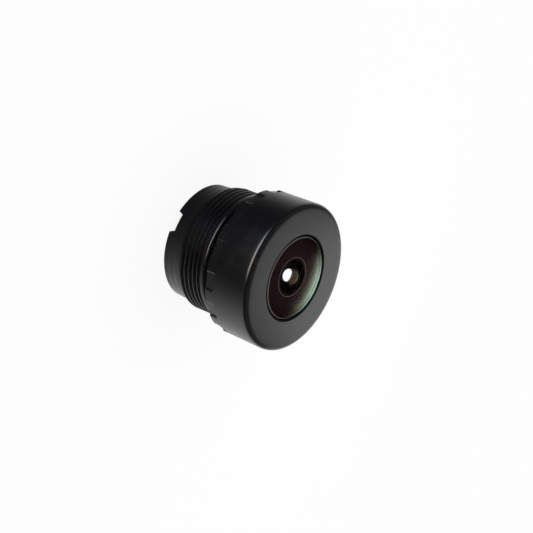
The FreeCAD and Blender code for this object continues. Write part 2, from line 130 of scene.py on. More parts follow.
studio = {
    "floorColour": "#F4F4F4",
    "floorSize": 6.0,              # m
    "shadowShare": 0.12,           # how much of the floor's own shading the camera sees
    # what glossy surfaces see of the card: painted light on one side of the lens, painted shade on the
    # other
    "floorPaintedLightSide": 342.0,       # degrees about Z
    "floorPaintedTones": (0.045, 0.92),   # on the dark and on the white side
    "floorReach": (-0.7, 0.45),    # cosine of the angle from the white side
    "nearReach": (0.017, 0.008),   # m from the axis: close to the lens the painted light reaches further
    "nearPaintedLight": 0.4,
    # what they see of the room: a soft ceiling, a bright far wall and a low window
    "ceilingSide": (0.6, 0.1, 0.79),
    "ceilingTones": (0.02, 0.14),
    "ceilingReach": (0.25, 0.42),
    "wallSide": (0.995, 0.0, 0.0995),
    "wallTones": (0.0, 1.0),
    "wallReach": (0.885, 0.985),
    "windowSide": 177.0,           # degrees about Z
    "windowReach": (0.78, 1.0),
    "windowTone": 8.6,
    "windowTop": (0.19, 0.10),     # sine of the elevation
    "windowPaintedFoot": (0.027, 0.045),  # m from the axis, where the window's painted light lies on the card
    "windowColours": ("#FFEBD6", "#DDE7FF"),
    "windowBlend": (-0.4, 0.4),    # cosines across the window, from its warm to its cool colour
    # what shines in through the glasses, whose many faces each take a little of the light
    "cardThroughGlass": 1.12,      # strength of the card, where 1 is white
    "roomThroughGlass": 0.75,      # share of the plain white room
    "fillPlace": (0.034, 0.0045, 0.0255),  # m
    "fillAim": (0.003, 0.0, 0.011),
    "fillSize": 0.018,
    "fillWatts": 0.00092,
}


def between(reach, tones):
    # the ends of a step from one tone to the other between two values
    return {"From Min": reach[0], "From Max": reach[1], "To Min": tones[0], "To Max": tones[1]}


def cosineTo(tree, vector, side):
    # the cosine of the angle between a direction and a side
    unit = addNode(tree, "ShaderNodeVectorMath", {"operation": "NORMALIZE"}, links={0: vector})
    along = addNode(
        tree, "ShaderNodeVectorMath", {"operation": "DOT_PRODUCT"}, {1: side},
        {0: unit.outputs["Vector"]},
    )
    return along.outputs["Value"]


def sideways(degrees):
    # the level direction at an angle about Z
    angle = math.radians(degrees)
    return (math.cos(angle), math.sin(angle), 0)


def windowGlow(tree, vector, kind, share, settings):
    # the low window's light: strongest towards its middle, warm on one side and cool on the other
    middle = sideways(settings["windowSide"])
    across = sideways(settings["windowSide"] - 90)
    lit = addNode(
        tree, "ShaderNodeMapRange", smoothStep,
        between(settings["windowReach"], (0, settings["windowTone"])),
        {"Value": cosineTo(tree, vector, middle)},
    )
    coolness = addNode(
        tree, "ShaderNodeMapRange", smoothStep, between(settings["windowBlend"], (0, 1)),
        {"Value": cosineTo(tree, vector, across)},
    )
    warm, cool = settings["windowColours"]
    tint = addNode(           # sockets 6 and 7 are the two colours, output 2 is their mix
        tree, "ShaderNodeMix", {"data_type": "RGBA"},
        {6: linear(warm), 7: linear(cool)}, {0: coolness.outputs[0]},
    )
    strength = addNode(
        tree, "ShaderNodeMath", {"operation": "MULTIPLY"}, links={0: lit.outputs[0], 1: share},
    )
    return addNode(tree, kind, links={"Color": tint.outputs[2], "Strength": strength.outputs[0]})


def addFloor(settings):
    half = settings["floorSize"] / 2
    corners = [(-half, -half, 0), (half, -half, 0), (half, half, 0), (-half, half, 0)]
    mesh = bpy.data.meshes.new("floor")
    mesh.from_pydata(corners, [], [(0, 1, 2, 3)])
    floor = bpy.data.objects.new("floor", mesh)
    scene.collection.objects.link(floor)
    material = newMaterial("white sweep card")
    tree = material.node_tree
    card = addNode(tree, "ShaderNodeBsdfDiffuse", inputs={"Color": linear(settings["floorColour"])})
    # the card that the camera sees: mostly plain white, with a share of its own shading
    glow = addNode(tree, "ShaderNodeEmission", inputs={"Color": white, "Strength": 1.0})
    seen = addNode(
        tree, "ShaderNodeMixShader", inputs={0: settings["shadowShare"]},
        links={1: glow.outputs[0], 2: card.outputs[0]},
    )
    # the card that shows through the glasses
    throughGlass = addNode(
        tree, "ShaderNodeEmission",
        inputs={"Color": white, "Strength": settings["cardThroughGlass"]},
    )
    # the card that glossy surfaces mirror: painted shade to painted light round the lens, and the
    # window's light painted at its foot
    place = addNode(tree, "ShaderNodeTexCoord").outputs["Object"]
    fromAxis = addNode(
        tree, "ShaderNodeVectorMath", {"operation": "LENGTH"}, links={0: place},
    ).outputs["Value"]
    near = addNode(
        tree, "ShaderNodeMapRange", smoothStep,
        between(settings["nearReach"], (0, settings["nearPaintedLight"])), {"Value": fromAxis},
    )
    side = addNode(
        tree, "ShaderNodeMath", {"operation": "ADD"},
        links={
            0: cosineTo(tree, place, sideways(settings["floorPaintedLightSide"])), 1: near.outputs[0],
        },
    )
    tone = addNode(
        tree, "ShaderNodeMapRange", smoothStep,
        between(settings["floorReach"], settings["floorPaintedTones"]), {"Value": side.outputs[0]},
    )
    plain = addNode(
        tree, "ShaderNodeEmission", inputs={"Color": white}, links={"Strength": tone.outputs[0]},
    )
    foot = addNode(
        tree, "ShaderNodeMapRange", smoothStep, between(settings["windowPaintedFoot"], (0, 1)),
        {"Value": fromAxis},
    )
    window = windowGlow(tree, place, "ShaderNodeEmission", foot.outputs[0], settings)
    mirrored = addNode(
        tree, "ShaderNodeAddShader", links={0: plain.outputs[0], 1: window.outputs[0]},
    )
    path = addNode(tree, "ShaderNodeLightPath")
    shader = card.outputs[0]
    for ray, seenAs in (
        ("Is Glossy Ray", mirrored), ("Is Transmission Ray", throughGlass), ("Is Camera Ray", seen),
    ):
        mix = addNode(
            tree, "ShaderNodeMixShader",
            links={0: path.outputs[ray], 1: shader, 2: seenAs.outputs[0]},
        )
        shader = mix.outputs[0]
    mesh.materials.append(finishMaterial(material, shader))


def setWorld(settings):
    world = bpy.data.worlds.new("studio")
    scene.world = world
    world.use_nodes = True
    tree = world.node_tree
    tree.nodes.clear()
    place = addNode(tree, "ShaderNodeTexCoord").outputs["Generated"]
    # the room that glossy surfaces mirror: ceiling, far wall and low window
    ceiling, wall = [
        addNode(
            tree, "ShaderNodeMapRange", smoothStep,
            between(settings[part + "Reach"], settings[part + "Tones"]),
            {"Value": cosineTo(tree, place, settings[part + "Side"])},
        )
        for part in ("ceiling", "wall")
    ]
    both = addNode(
        tree, "ShaderNodeMath", {"operation": "ADD"},
        links={0: ceiling.outputs[0], 1: wall.outputs[0]},
    )
    room = addNode(
        tree, "ShaderNodeBackground", inputs={"Color": white}, links={"Strength": both.outputs[0]},
    )
    height = addNode(tree, "ShaderNodeSeparateXYZ", links={0: place}).outputs["Z"]
    low = addNode(
        tree, "ShaderNodeMapRange", smoothStep, between(settings["windowTop"], (0, 1)),
        {"Value": height},
    )
    window = windowGlow(tree, place, "ShaderNodeBackground", low.outputs[0], settings)
    mirrored = addNode(tree, "ShaderNodeAddShader", links={0: room.outputs[0], 1: window.outputs[0]})
    # the camera and matte surfaces see a plain white room, and glass lets in a share of it
    plain = addNode(tree, "ShaderNodeBackground", inputs={"Color": white, "Strength": 1.0})
    path = addNode(tree, "ShaderNodeLightPath")
    matteOrCamera = addNode(
        tree, "ShaderNodeMath", {"operation": "MAXIMUM"},
        links={0: path.outputs["Is Camera Ray"], 1: path.outputs["Is Diffuse Ray"]},
    )
    inGlass = addNode(
        tree, "ShaderNodeMapRange", smoothStep, between((0, 1), (0, settings["roomThroughGlass"])),
        {"Value": path.outputs["Is Transmission Ray"]},
    )
    plainShare = addNode(
        tree, "ShaderNodeMath", {"operation": "MAXIMUM"},
        links={0: matteOrCamera.outputs[0], 1: inGlass.outputs[0]},
    )
    sky = addNode(
        tree, "ShaderNodeMixShader",
        links={0: plainShare.outputs[0], 1: mirrored.outputs[0], 2: plain.outputs[0]},
    )
    addNode(tree, "ShaderNodeOutputWorld", links={"Surface": sky.outputs[0]})
    world.cycles.sampling_method = "NONE"    # the light path decides what a ray sees


def addLamp(name, place, aim, size, watts):
    lamp = bpy.data.lights.new(name, "AREA")
    lamp.shape = "DISK"
    lamp.size = size
    lamp.energy = watts
    holder = bpy.data.objects.new(name, lamp)
    holder.location = place
    turn = (Vector(aim) - Vector(place)).to_track_quat("-Z", "Y")
    holder.rotation_euler = turn.to_euler()
    holder.visible_camera = False
    holder.visible_transmission = False
    scene.collection.objects.link(holder)


addFloor(studio)
setWorld(studio)
addLamp("fill", studio["fillPlace"], studio["fillAim"], studio["fillSize"], studio["fillWatts"])
print("floor, world and lamp placed")


# finishes

barrelFinish = {
    "colour": "#0D0D11",
    "index": 1.57,
    "grain": 0.07,                # mm, drawn a little coarse so that it shows
    "grainHeight": 0.006,         # mm
    "grainStrength": 0.25,
    "flowMarks": 2.0,             # mm, clouds of slightly different gloss
    "flowReach": (0.3, 0.7),      # where most of the noise's values lie
    "roughness": (0.24, 0.30),
}


def satinPlastic(look):
    # black glass-filled engineering plastic from a spark-textured mould: a fine satin grain
    # that spreads highlights, and faint flow marks
    material = newMaterial("black glass-filled plastic")
    tree = material.node_tree
    place = addNode(tree, "ShaderNodeTexCoord")
    grain = addNode(
        tree, "ShaderNodeTexNoise",
        inputs={"Scale": 1 / (look["grain"] * mm), "Detail": 3.0, "Roughness": 0.6},
        links={"Vector": place.outputs["Object"]},
    )
    flow = addNode(
        tree, "ShaderNodeTexNoise", inputs={"Scale": 1 / (look["flowMarks"] * mm), "Detail": 2.0},
        links={"Vector": place.outputs["Object"]},
    )
    bump = addNode(
        tree, "ShaderNodeBump",
        inputs={"Strength": look["grainStrength"], "Distance": look["grainHeight"] * mm},
        links={"Height": grain.outputs["Fac"]},
    )
    rough = addNode(
        tree, "ShaderNodeMapRange", inputs=between(look["flowReach"], look["roughness"]),
        links={"Value": flow.outputs["Fac"]},
    )
    shader = addNode(
        tree, "ShaderNodeBsdfPrincipled",
        inputs={"Base Color": linear(look["colour"]), "IOR": look["index"]},
        links={"Roughness": rough.outputs[0], "Normal": bump.outputs["Normal"]},
    )
    return finishMaterial(material, shader.outputs[0])


def polishedGlass(name, ior, filmThickness, filmIor):
    # ground and polished optical glass with a thin anti-reflection coating, whose thickness
    # in nanometres sets the tint of its reflections
    material = newMaterial(name)
    tree = material.node_tree
    shader = addNode(
        tree, "ShaderNodeBsdfPrincipled",
        inputs={
            "Base Color": white, "IOR": ior, "Roughness": 0.0,
            "Transmission Weight": 1.0,
            "Thin Film Thickness": filmThickness, "Thin Film IOR": filmIor,
        },
    )
    return finishMaterial(material, shader.outputs[0])


crownCoating = {
    "colours": ("#C9C79A", "#C2E4D3"),    # olive first, then teal towards the rim
    "lowView": (0.12, 0.22),              # Fresnel values of the bare glass at its start and end
    "steepness": 2.5,                     # how late the mirror comes up between them
    "mirror": (0.008, 0.52),              # share of the light it throws back, head on and low
}


def crownGlass(name, ior, coating):
    # the outer face of the front glass: its many-layer coating holds reflections down until
    # the view is low, where they come up green
    material = newMaterial(name)
    tree = material.node_tree
    bent = addNode(tree, "ShaderNodeBsdfRefraction", inputs={"Roughness": 0.0, "IOR": ior})
    fresnel = addNode(tree, "ShaderNodeFresnel", inputs={"IOR": ior})
    low = addNode(
        tree, "ShaderNodeMapRange", inputs=between(coating["lowView"], (0, 1)),
        links={"Value": fresnel.outputs[0]},
    )
    olive, teal = coating["colours"]
    tint = addNode(
        tree, "ShaderNodeMix", {"data_type": "RGBA"},
        {6: linear(olive), 7: linear(teal)}, {0: low.outputs[0]},
    )
    mirrored = addNode(
        tree, "ShaderNodeBsdfGlossy", inputs={"Roughness": 0.0}, links={"Color": tint.outputs[2]},
    )
    late = addNode(
        tree, "ShaderNodeMath", {"operation": "POWER"}, {1: coating["steepness"]},
        {0: low.outputs[0]},
    )
    share = addNode(
        tree, "ShaderNodeMapRange", inputs=between((0, 1), coating["mirror"]),
        links={"Value": late.outputs[0]},
    )
    mix = addNode(
        tree, "ShaderNodeMixShader",
        links={0: share.outputs[0], 1: bent.outputs[0], 2: mirrored.outputs[0]},
    )
    return finishMaterial(material, mix.outputs[0])


def edgeInk(name, colour, ior):
    # matte ink painted on ground glass edges, so that no light enters there; under dense glass
    # its gloss is weak, which a low index gives
    material = newMaterial(name)
    tree = material.node_tree
    place = addNode(tree, "ShaderNodeTexCoord")
    brushed = addNode(         # brush marks about 0.3 mm wide
        tree, "ShaderNodeTexNoise", inputs={"Scale": 1 / (0.3 * mm), "Detail": 2.0},
        links={"Vector": place.outputs["Object"]},
    )
    rough = addNode(
        tree, "ShaderNodeMapRange", inputs=between((0, 1), (0.45, 0.7)),
        links={"Value": brushed.outputs["Fac"]},
    )
    shader = addNode(
        tree, "ShaderNodeBsdfPrincipled", inputs={"Base Color": linear(colour), "IOR": ior},
        links={"Roughness": rough.outputs[0]},
    )
    return finishMaterial(material, shader.outputs[0])


def groundBevel(name, colour):
    # the unpolished bevel round the front glass: fine-ground with a 0.04 mm grit, so it
    # scatters a pale brown line
    material = newMaterial(name)
    tree = material.node_tree
    place = addNode(tree, "ShaderNodeTexCoord")
    grit = addNode(
        tree, "ShaderNodeTexNoise", inputs={"Scale": 1 / (0.04 * mm), "Detail": 2.0},
        links={"Vector": place.outputs["Object"]},
    )
    bump = addNode(
        tree, "ShaderNodeBump", inputs={"Strength": 0.3, "Distance": 0.003 * mm},
        links={"Height": grit.outputs["Fac"]},
    )
    shader = addNode(
        tree, "ShaderNodeBsdfPrincipled",
        inputs={"Base Color": linear(colour), "Roughness": 0.45, "IOR": 1.77},
        links={"Normal": bump.outputs["Normal"]},
    )
    return finishMaterial(material, shader.outputs[0])


def plainFinish(name, colour, roughness, grainSize, bumpHeight, metallic=0.0):
    # a matte black finish with a grain of its own size in millimetres
    material = newMaterial(name)
    tree = material.node_tree
    place = addNode(tree, "ShaderNodeTexCoord")
    grain = addNode(
        tree, "ShaderNodeTexNoise", inputs={"Scale": 1 / (grainSize * mm), "Detail": 2.0},
        links={"Vector": place.outputs["Object"]},
    )
    bump = addNode(
        tree, "ShaderNodeBump", inputs={"Strength": 0.4, "Distance": bumpHeight * mm},
        links={"Height": grain.outputs["Fac"]},
    )
    shader = addNode(
        tree, "ShaderNodeBsdfPrincipled",
        inputs={"Base Color": linear(colour), "Roughness": roughness, "Metallic": metallic},
        links={"Normal": bump.outputs["Normal"]},
    )
    return finishMaterial(material, shader.outputs[0])


satin = satinPlastic(barrelFinish)
ink = edgeInk("black edge ink", "#0C0C0D", 1.5)
# the seat's ink has a maroon colour of its own, painted lighter as painted light, standing in for light
# that reaches it through the front glass
seatInkPaintedLight = edgeInk("maroon seat ink, painted lighter", "#382128", 1.18)
bevelled = groundBevel("fine-ground glass", "#6E645A")
# the bowl mouth's ring is a lighter copy of the ground glass: painted light, standing in for light that
# reaches it through the front glass
mouthBevelPaintedLight = groundBevel("fine-ground glass, bowl mouth, painted lighter", "#9C857D")
# soft and dull rubber, and near-black painted shade for the dark gap round the front glass, with no form
# of its own
rubber = plainFinish("black nitrile rubber", "#141414", roughness=0.6, grainSize=0.1, bumpHeight=0.01)
gapShadeFinish = plainFinish("near-black painted shade round the glass", "#050505", roughness=0.7, grainSize=0.1, bumpHeight=0.004)
# smooth dark foil, and moulded plastic with a fine grain
foil = plainFinish("black polyester foil", "#101010", roughness=0.5, grainSize=0.05, bumpHeight=0.002)
spacerPlastic = plainFinish(
    "black moulded spacer plastic", "#161617", roughness=0.5, grainSize=0.06, bumpHeight=0.004,
)
# blackened metal with a trace of shine
stopMetal = plainFinish(
    "black oxide phosphor bronze", "#151312", roughness=0.45, grainSize=0.03, bumpHeight=0.001,
    metallic=0.6,
)
print("finishes made")


# surfaces

mergeDistance = 0.0002   # mm


def addPiece(name, grid, materials, rowMaterial, nodes, sharpAngle=28.0):
    # a closed surface from a grid of points (rows along the profile, columns round the axis),
    # with the seam and the poles merged, sharp where the finish changes or the angle is over
    # the limit; it rides on the one body and stands for its CAD nodes
    rows, columns, _ = grid.shape
    corner = np.arange(rows * columns).reshape(rows, columns)
    quads = np.stack([corner[:-1, :-1], corner[1:, :-1], corner[1:, 1:], corner[:-1, 1:]], -1)
    mesh = bpy.data.meshes.new(name)
    mesh.from_pydata((grid.reshape(-1, 3) * mm).tolist(), [], quads.reshape(-1, 4).tolist())
    mesh.polygons.foreach_set("material_index", np.repeat(rowMaterial, columns - 1))
    work = bmesh.new()
    work.from_mesh(mesh)
    bmesh.ops.remove_doubles(work, verts=work.verts, dist=mergeDistance * mm)
    work.to_mesh(mesh)
    work.free()
    for material in materials:
        mesh.materials.append(material)
    mesh.shade_smooth()
    mesh.set_sharp_from_angle(angle=math.radians(sharpAngle))
    markFinishEdges(mesh)
    piece = bpy.data.objects.new(name, mesh)
    scene.collection.objects.link(piece)
    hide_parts(*nodes)
    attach(piece, "root")
    print(name, len(mesh.polygons), "faces")


def markFinishEdges(mesh):
    # an edge is sharp where its faces differ in finish: the lowest and highest finish index
    # of each edge's faces are compared
    edgeOfLoop = np.empty(len(mesh.loops), dtype=np.int32)
    mesh.loops.foreach_get("edge_index", edgeOfLoop)
    sizes = np.empty(len(mesh.polygons), dtype=np.int32)
    mesh.polygons.foreach_get("loop_total", sizes)
    finish = np.empty(len(mesh.polygons), dtype=np.int32)
    mesh.polygons.foreach_get("material_index", finish)
    perLoop = np.repeat(finish, sizes)
    lowest = np.full(len(mesh.edges), len(mesh.materials))
    highest = np.full(len(mesh.edges), -1)
    np.minimum.at(lowest, edgeOfLoop, perLoop)
    np.maximum.at(highest, edgeOfLoop, perLoop)
    sharp = np.empty(len(mesh.edges), dtype=bool)
    mesh.edges.foreach_get("use_edge_sharp", sharp)
    mesh.edges.foreach_set("use_edge_sharp", sharp | (lowest != highest))
    mesh.update()


def line(start, end, steps):
    # points on a straight run, both ends included
    share = np.linspace(0, 1, steps + 1)[:, None]
    return np.array(start) * (1 - share) + np.array(end) * share


def ground(radius, vertex, fromRadius, toRadius, rises, steps):
    # points on a polished face: the height falls from the vertex by R - sqrt(R^2 - r^2),
    # or rises by it where the face curves upwards
    across = np.linspace(fromRadius, toRadius, steps + 1)
    depth = sagOf(radius, across)
    height = vertex + depth if rises else vertex - depth
    return np.stack([across, height], -1)


def sagOf(radius, across):
    # how far a round surface of radius R has fallen at r across: R - sqrt(R^2 - r^2)
    return radius - np.sqrt(radius ** 2 - across ** 2)


def joined(parts):
    # profile runs one after the other, with the finish of each run's faces; the rows where
    # two runs meet are merged later
    profile = np.concatenate([run for run, _ in parts])
    finish = []
    for number, (run, index) in enumerate(parts):
        finish += [index] * (len(run) - 1)
        if number < len(parts) - 1:
            finish.append(index)
    return profile, np.array(finish)


def turned(profile, columns):
    # a profile point (r, z) at the angle t stands at (r cos t, r sin t, z)
    angle = np.linspace(0, 2 * math.pi, columns + 1)
    radius, height = profile[:, :1], profile[:, 1:]
    return np.stack([
        radius * np.cos(angle), radius * np.sin(angle),
        np.broadcast_to(height, (len(profile), columns + 1)),
    ], -1)


# barrel

barrel = {
    # radii, lengths and heights in mm, angles in degrees; lengths from the rear end to the face
    "rearEndLength": 2.33, "threadLength": 2.52, "collarLength": 0.55, "reliefLength": 0.91,
    "headLength": 4.89,
    "headFront": 7.09, "headRear": 6.985, "headRounding": 0.47, "headRearBevel": 0.06,
    "relief": 5.55, "reliefFillet": 0.12, "crest": 6.0, "collarRounding": 0.32,
    "threadDepth": 0.3, "pitch": 0.5, "crestFlat": 0.10, "rootFlat": 0.02,
    "crestHeight": 4.38, "crestAngle": 177.0,      # one crest's height at this angle
    "threadEndBevel": 0.12, "runOut": 5.42, "runOutLength": 0.28,
    "rearRadii": (5.62, 5.575, 5.53), "rearSteps": (1.45, 0.8), "rearStepRun": 0.15,
    "rearBevel": 0.1, "cupBevel": 0.04,
    "cup": 4.4, "cupDepth": 1.0, "filterBore": 3.05, "filterFront": 1.3, "filterWindow": 2.65,
    "exit": 1.8, "exitLedge": 3.741, "lowerBore": 2.53, "stopSeat": 7.43, "upperBore": 2.93,
    "frontSeat": 9.682, "frontBore": 4.1, "boreBevel": 0.12,
    "pockets": 14, "pocketAngle": 240.0,           # the middle of one pocket
    "pocketWidth": 1.7, "pocketLength": 0.95, "pocketDepth": 0.18,
    "pocketEdge": 0.05, "pocketRounding": 0.25, "pocketSide": 0.24,
    "slotRimWidth": 2.1, "slotFloorWidth": 1.65, "slotDepth": 0.6,
    "slotMargin": 0.02,                            # from a slot's floor to the next row of faces
    "slotColumns": (22.0, 38.0),                   # from a slot's middle: columns turn even here
    "nickAngle": 225.5, "nickWidth": 0.25, "nickDepth": 0.1,
    "nickSide": (0.38, 0.62),                      # shares of its width that its sides run over
    # how fine the surface is
    "columns": 288, "columnGap": 0.45,             # even columns closer to another are left out
    "pocketSideColumns": 8, "rowsPerPitch": 12,
    "roundingPoints": 13, "filletPoints": 5, "collarPoints": 8,
    "mouthRows": 2, "boreRows": 3,                 # the bore's bevel and wall round the glass
}


def smooth(value, low, high):
    # 0 below low, 1 above high, and 3 s^2 - 2 s^3 between
    share = np.clip((value - low) / (high - low), 0, 1)
    return share * share * (3 - 2 * share)


def wrapped(angle):
    # an angle brought to between -pi and pi
    return (angle + math.pi) % (2 * math.pi) - math.pi


def barrelAngles(size):
    # an even set of columns, plus some at each side of every pocket, slot and nick, in place of
    # the even ones close to them; the first and the last stay, because they close the surface
    extra = []
    half = size["pocketWidth"] / 2
    for number in range(size["pockets"]):
        middle = math.radians(size["pocketAngle"]) + 2 * math.pi * number / size["pockets"]
        for side in (-1, 1):
            for share in np.linspace(0, 1, size["pocketSideColumns"]):
                off = size["pocketSide"] * (2 / 3 - share)
                extra.append(middle + side * math.asin((half + off) / size["headRear"]))
    rim = size["rearRadii"][2]
    for middle in (0.0, math.pi):
        for side in (-1, 1):
            for across in (size["slotRimWidth"] / 2, size["slotFloorWidth"] / 2):
                extra.append(middle + side * math.asin(across / rim))
    nick = math.radians(size["nickAngle"])
    inner, outer = size["nickSide"]
    for across in (-outer, -inner, inner, outer):
        extra.append(nick + across * size["nickWidth"] / rim)
    even = np.linspace(0, 2 * math.pi, size["columns"] + 1)
    extra = np.array(extra) % (2 * math.pi)
    nearest = np.min(np.abs(wrapped(even[:, None] - extra[None, :])), axis=1)
    kept = nearest > math.radians(size["columnGap"])
    kept[[0, -1]] = True
    return np.sort(np.concatenate([even[kept], extra]))


def threadRadius(size, height, angle):
    # how far a height is from the nearest crest line, which climbs one pitch a turn, sets the
    # depth below the crest; the flanks stand about 65 degrees apart
    pitch = size["pitch"]
    climb = pitch * (angle - math.radians(size["crestAngle"])) / (2 * math.pi)
    away = (height - size["crestHeight"] - climb + pitch / 2) % pitch - pitch / 2
    flank = pitch / 2 - size["crestFlat"] / 2 - size["rootFlat"] / 2
    share = np.clip((np.abs(away) - size["crestFlat"] / 2) / flank, 0, 1)
    radius = size["crest"] - size["threadDepth"] * share
    leadIn = size["crest"] - size["threadEndBevel"] + (height - size["rearEndLength"])
    return np.minimum(radius, leadIn)


def barrelRuns(size):
    # the half section from the bore's front edge over the face and down the outside to the
    # thread, then from the thread's rear end under the rim and up the inside
    threadRear = size["rearEndLength"]
    threadFront = threadRear + size["threadLength"]
    collarFront = threadFront + size["collarLength"]
    headRear = collarFront + size["reliefLength"]
    face = headRear + size["headLength"]
    rounding = size["headRounding"]
    turn = np.linspace(0, math.pi / 2, size["roundingPoints"])
    front = size["headFront"]
    rounded = np.stack([
        front - rounding + rounding * np.sin(turn), face - rounding + rounding * np.cos(turn),
    ], -1)
    pocketTop = headRear + size["pocketLength"]
    slope = (front - size["headRear"]) / (face - rounding - headRear)

    def headRadius(height):
        # the head's draft: its radius grows evenly from its rear to its rounded edge
        return size["headRear"] + slope * (height - headRear)

    def headPoint(height):
        return (headRadius(height), height)

    edge = size["pocketEdge"]
    bevel = size["headRearBevel"]
    fillet = size["reliefFillet"]
    quarter = np.linspace(0, math.pi / 2, size["filletPoints"])
    neck = np.stack([
        size["relief"] + fillet - fillet * np.sin(quarter), headRear - fillet + fillet * np.cos(quarter),
    ], -1)
    collarRounding = size["collarRounding"]
    roll = np.linspace(math.pi / 2, 0, size["collarPoints"])
    collarEdge = np.stack([
        size["crest"] - collarRounding + collarRounding * np.cos(roll),
        collarFront - collarRounding + collarRounding * np.sin(roll),
    ], -1)
    bore = size["frontBore"]
    seat = size["frontSeat"]
    mouthFoot = face - size["boreBevel"]
    mouth = bore + size["boreBevel"]
    before = [
        line((bore, mouthFoot), (mouth, face), size["mouthRows"]),
        line((mouth, face), (front - rounding, face), 9),
        rounded,
        line(headPoint(face - rounding), headPoint(pocketTop + edge), 7),
        line(headPoint(pocketTop + edge), headPoint(pocketTop - edge), 4),
        line(headPoint(pocketTop - edge), headPoint(headRear + bevel), 4),
        line(headPoint(headRear + bevel), (headRadius(headRear) - bevel, headRear), 3),
        line((headRadius(headRear) - bevel, headRear), (size["relief"] + fillet, headRear), 6),
        neck,
        line((size["relief"], headRear - fillet), (size["relief"], collarFront), 3),
        line((size["relief"], collarFront), (size["crest"] - collarRounding, collarFront), 1),
        collarEdge,
        line((size["crest"], collarFront - collarRounding), (size["crest"], threadFront), 2),
    ]
    first, second, third = size["rearRadii"]
    upper, lower = size["rearSteps"]
    stepRun = size["rearStepRun"]
    rimBevel = size["rearBevel"]
    runOut = size["runOut"]
    runOutRear = threadRear - size["runOutLength"]
    lead = first - runOut
    slotTop = size["slotDepth"] + size["slotMargin"]
    cup = size["cup"]
    cupBevel = size["cupBevel"]
    cupTop = size["cupDepth"]
    filterBore = size["filterBore"]
    filterFront = size["filterFront"]
    window = size["filterWindow"]
    exitHole = size["exit"]
    exitLedge = size["exitLedge"]
    lowerBore = size["lowerBore"]
    stopSeat = size["stopSeat"]
    upperBore = size["upperBore"]
    behind = [
        line((runOut, threadRear), (runOut, runOutRear + lead), 3),
        line((runOut, runOutRear + lead), (first, runOutRear), 2),
        line((first, runOutRear), (first, upper), 3),
        line((first, upper), (second, upper - stepRun), 1),
        line((second, upper - stepRun), (second, lower), 3),
        line((second, lower), (third, lower - stepRun), 1),
        line((third, lower - stepRun), (third, slotTop), 1),
        line((third, slotTop), (third, rimBevel), 6),
        line((third, rimBevel), (third - rimBevel, 0), 2),
        line((third - rimBevel, 0), (cup + cupBevel, 0), 5),
        line((cup + cupBevel, 0), (cup, cupBevel), 1),
        line((cup, cupBevel), (cup, slotTop), 6),
        line((cup, slotTop), (cup, cupTop), 1),
        line((cup, cupTop), (filterBore, cupTop), 3),
        line((filterBore, cupTop), (filterBore, filterFront), 2),
        line((filterBore, filterFront), (window, filterFront), 1),
        line((window, filterFront), (exitHole, exitLedge), 6),
        line((exitHole, exitLedge), (lowerBore, exitLedge), 1),
        line((lowerBore, exitLedge), (lowerBore, stopSeat), 3),
        line((lowerBore, stopSeat), (upperBore, stopSeat), 1),
        line((upperBore, stopSeat), (upperBore, seat), 3),
        line((upperBore, seat), (bore, seat), 2),
        line((bore, seat), (bore, mouthFoot), size["boreRows"]),
    ]
    return np.concatenate(before), np.concatenate(behind), headRear, threadRear, threadFront


def pocketed(size, radius, height, angle, headRear):
    # inside a pocket the floor is a flat at right angles to the pocket's middle: the radius
    # is its distance over the cosine of the angle from the middle; each side rolls down to it
    # by R - sqrt(R^2 - u^2)
    step = 2 * math.pi / size["pockets"]
    off = (angle - math.radians(size["pocketAngle"]) + step / 2) % step - step / 2
    floor = (size["headRear"] - size["pocketDepth"]) / np.cos(off)
    across = np.abs(size["headRear"] * np.sin(off))
    half = size["pocketWidth"] / 2
    side = size["pocketSide"]
    bend = size["pocketRounding"]
    over = side * np.clip((half + side * 2 / 3 - across) / side, 0, 1)
    inside = sagOf(bend, over) / sagOf(bend, side)
    edge = size["pocketEdge"]
    top = headRear + size["pocketLength"]
    low = 1 - smooth(height, top - edge / 2, top + edge / 2)
    cut = np.minimum(radius, floor)
    return radius + (cut - radius) * inside * low


def slotted(size, grid):
    # the rear wall's points are lifted to the slots' and the nick's floors: a slot's sides
    # lean from its rim width to its floor width
    x, y, z = np.moveaxis(grid, -1, 0)
    radius = np.hypot(x, y)
    angle = np.arctan2(y, x)
    margin = size["slotMargin"] / 2
    wall = (radius > size["cup"] - margin) & (z < size["slotDepth"] + margin)
    # near a slot the columns are shifted so that they run along it
    rim = size["rearRadii"][2]
    off = wrapped(2 * angle) / 2
    straight = np.arcsin(np.clip(rim * np.sin(off) / np.maximum(radius, tiny), -1, 1))
    first, last = np.radians(size["slotColumns"])
    share = 1 - smooth(np.abs(off), first, last)
    angle = np.where(wall, angle + (straight - off) * share, angle)
    x = radius * np.cos(angle)
    y = radius * np.sin(angle)
    rimHalf = size["slotRimWidth"] / 2
    floorHalf = size["slotFloorWidth"] / 2
    lean = (rimHalf - np.abs(y)) / (rimHalf - floorHalf)
    lift = size["slotDepth"] * np.clip(lean, 0, 1)
    nickOff = wrapped(angle - math.radians(size["nickAngle"])) * rim / size["nickWidth"]
    nick = size["nickDepth"] * (1 - smooth(np.abs(nickOff), *size["nickSide"]))
    z = np.where(wall, np.maximum(z, np.maximum(lift, nick)), z)
    return np.stack([x, y, z], -1)


